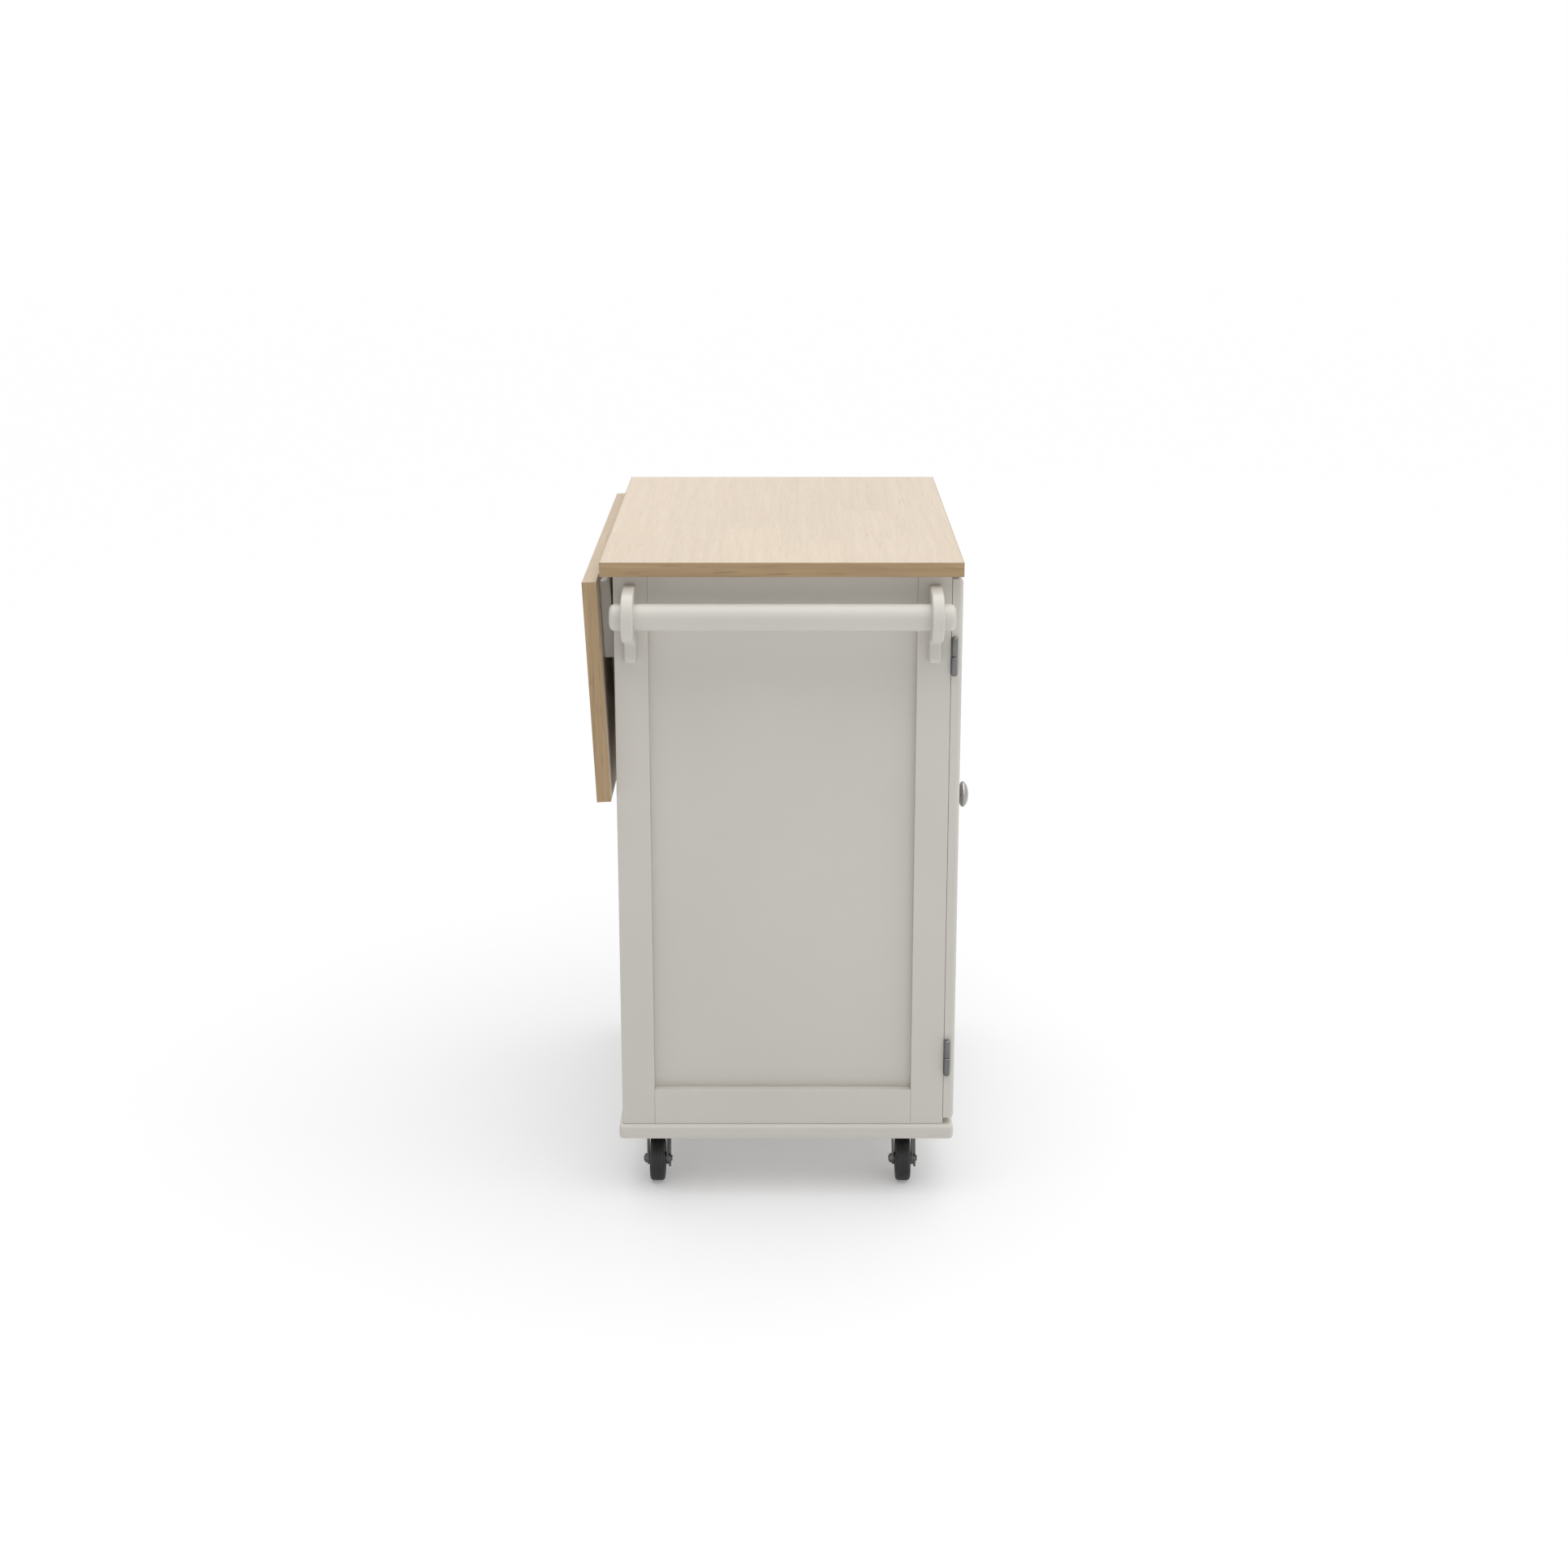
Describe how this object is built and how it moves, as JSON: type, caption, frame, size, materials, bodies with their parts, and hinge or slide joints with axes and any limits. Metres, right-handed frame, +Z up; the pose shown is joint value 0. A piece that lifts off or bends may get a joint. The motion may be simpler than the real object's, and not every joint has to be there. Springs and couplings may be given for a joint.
{
  "type": "butcher block table",
  "caption": "Wheeled kitchen table with a wooden top, hanging drop leaf, shaker cabinet with door and drawers, and a towel bar on brackets.",
  "frame": {"origin": "on the floor, under the middle of the whole table's box with the leaf hanging", "axes": "+Z up, +X along the table away from the towel bar, -Y towards the door and drawers"},
  "size_m": [0.735, 0.5352, 0.914],
  "materials": {
    "butcher_block": "clear oiled hardwood strips, satin",
    "white_paint": "warm off-white satin paint on wood",
    "drawer_wood": "clear lacquered light wood",
    "plated_steel": "dull nickel plate",
    "satin_nickel": "satin nickel",
    "caster_steel": "black semi-gloss plate",
    "wheel_rubber": "black rubber, satin",
    "white_plastic": "white moulded plastic"
  },
  "bodies": {
    "cabinet": {"tabletop": "butcher_block", "base_board": "white_paint", "left_stiles": "white_paint", "left_rails": "white_paint", "left_panel": "white_paint", "right_stiles": "white_paint", "right_rails": "white_paint", "right_panel": "white_paint", "front_rails": "white_paint", "front_centre_stile": "white_paint", "partition": "white_paint", "back_rails": "white_paint", "back_panel": "white_paint", "shelf": "white_paint", "shelf_pins": "plated_steel", "towel_bracket_front": "white_paint", "towel_bracket_back": "white_paint", "towel_bar": "white_paint", "door_hinge_fixed_leaves": "plated_steel", "door_hinge_pins": "plated_steel", "magnetic_catch": "white_plastic", "leaf_hinge_fixed_plates": "plated_steel", "leaf_hinge_pins": "plated_steel", "stay_brackets": "plated_steel", "drawer_runners": "plated_steel", "caster_plates": "caster_steel"},
    "leaf": {"drop_leaf": "butcher_block", "leaf_battens": "white_paint", "leaf_hinge_moving_plates": "plated_steel", "stay_channels": "plated_steel"},
    "brace_left": {"stay_brace_left": "plated_steel"},
    "brace_right": {"stay_brace_right": "plated_steel"},
    "door": {"door_stiles": "white_paint", "door_rails": "white_paint", "door_panel": "white_paint", "door_hinge_moving_leaves": "plated_steel", "door_knob": "satin_nickel", "catch_strike": "plated_steel"},
    "drawer_1": {"drawer_front_1": "white_paint", "drawer_box_1": "drawer_wood", "drawer_knob_1": "satin_nickel"},
    "drawer_2": {"drawer_front_2": "white_paint", "drawer_box_2": "drawer_wood", "drawer_knob_2": "satin_nickel"},
    "drawer_3": {"drawer_front_3": "white_paint", "drawer_box_3": "drawer_wood", "drawer_knob_3": "satin_nickel"},
    "drawer_4": {"drawer_front_4": "white_paint", "drawer_box_4": "drawer_wood", "drawer_knob_4": "satin_nickel"},
    "fork_left_front": {"caster_fork_left_front": "caster_steel"},
    "wheel_left_front": {"caster_wheel_left_front": "wheel_rubber"},
    "brake_left_front": {"caster_brake_left_front": "caster_steel"},
    "fork_left_back": {"caster_fork_left_back": "caster_steel"},
    "wheel_left_back": {"caster_wheel_left_back": "wheel_rubber"},
    "brake_left_back": {"caster_brake_left_back": "caster_steel"},
    "fork_right_front": {"caster_fork_right_front": "caster_steel"},
    "wheel_right_front": {"caster_wheel_right_front": "wheel_rubber"},
    "fork_right_back": {"caster_fork_right_back": "caster_steel"},
    "wheel_right_back": {"caster_wheel_right_back": "wheel_rubber"}
  },
  "joints": [
    {"name": "leaf_hinge", "type": "hinge", "parent": "cabinet", "child": "leaf", "pos_m": [0.0275, 0.24436, 0.8906], "axis": [1, 0, 0], "range_deg": [0, 92.72]},
    {"name": "stay_left", "type": "hinge", "parent": "cabinet", "child": "brace_left", "pos_m": [-0.1525, 0.23536, 0.815], "axis": [1, 0, 0], "range_deg": [0, 133.22]},
    {"name": "stay_right", "type": "hinge", "parent": "cabinet", "child": "brace_right", "pos_m": [0.2075, 0.23536, 0.815], "axis": [1, 0, 0], "range_deg": [0, 133.22]},
    {"name": "door_hinge", "type": "hinge", "parent": "cabinet", "child": "door", "pos_m": [-0.2968, -0.22184, 0.50475], "axis": [0, 0, -1], "range_deg": [0, 110]},
    {"name": "drawer_slide_1", "type": "slide", "parent": "cabinet", "child": "drawer_1", "axis": [0, -1, 0], "range_m": [0, 0.3]},
    {"name": "drawer_slide_2", "type": "slide", "parent": "cabinet", "child": "drawer_2", "axis": [0, -1, 0], "range_m": [0, 0.3]},
    {"name": "drawer_slide_3", "type": "slide", "parent": "cabinet", "child": "drawer_3", "axis": [0, -1, 0], "range_m": [0, 0.3]},
    {"name": "drawer_slide_4", "type": "slide", "parent": "cabinet", "child": "drawer_4", "axis": [0, -1, 0], "range_m": [0, 0.3]},
    {"name": "swivel_left_front", "type": "hinge", "parent": "cabinet", "child": "fork_left_front", "pos_m": [-0.2125, -0.16564, 0.09], "axis": [0, 0, 1], "continuous": true},
    {"name": "roll_left_front", "type": "hinge", "parent": "fork_left_front", "child": "wheel_left_front", "pos_m": [-0.2325, -0.16564, 0.0315], "axis": [0, 1, 0], "continuous": true},
    {"name": "brake_pedal_left_front", "type": "hinge", "parent": "fork_left_front", "child": "brake_left_front", "pos_m": [-0.2325, -0.16564, 0.0315], "axis": [0, 1, 0], "range_deg": [0, 15]},
    {"name": "swivel_left_back", "type": "hinge", "parent": "cabinet", "child": "fork_left_back", "pos_m": [-0.2125, 0.18336, 0.09], "axis": [0, 0, 1], "continuous": true},
    {"name": "roll_left_back", "type": "hinge", "parent": "fork_left_back", "child": "wheel_left_back", "pos_m": [-0.2325, 0.18336, 0.0315], "axis": [0, 1, 0], "continuous": true},
    {"name": "brake_pedal_left_back", "type": "hinge", "parent": "fork_left_back", "child": "brake_left_back", "pos_m": [-0.2325, 0.18336, 0.0315], "axis": [0, 1, 0], "range_deg": [0, 15]},
    {"name": "swivel_right_front", "type": "hinge", "parent": "cabinet", "child": "fork_right_front", "pos_m": [0.2675, -0.16564, 0.09], "axis": [0, 0, 1], "continuous": true},
    {"name": "roll_right_front", "type": "hinge", "parent": "fork_right_front", "child": "wheel_right_front", "pos_m": [0.2475, -0.16564, 0.0315], "axis": [0, 1, 0], "continuous": true},
    {"name": "swivel_right_back", "type": "hinge", "parent": "cabinet", "child": "fork_right_back", "pos_m": [0.2675, 0.18336, 0.09], "axis": [0, 0, 1], "continuous": true},
    {"name": "roll_right_back", "type": "hinge", "parent": "fork_right_back", "child": "wheel_right_back", "pos_m": [0.2475, 0.18336, 0.0315], "axis": [0, 1, 0], "continuous": true}
  ],
  "couplings": [
    {"joint": "stay_left", "follows": "leaf_hinge", "ratio": 1.4366},
    {"joint": "stay_right", "follows": "leaf_hinge", "ratio": 1.4366}
  ]
}
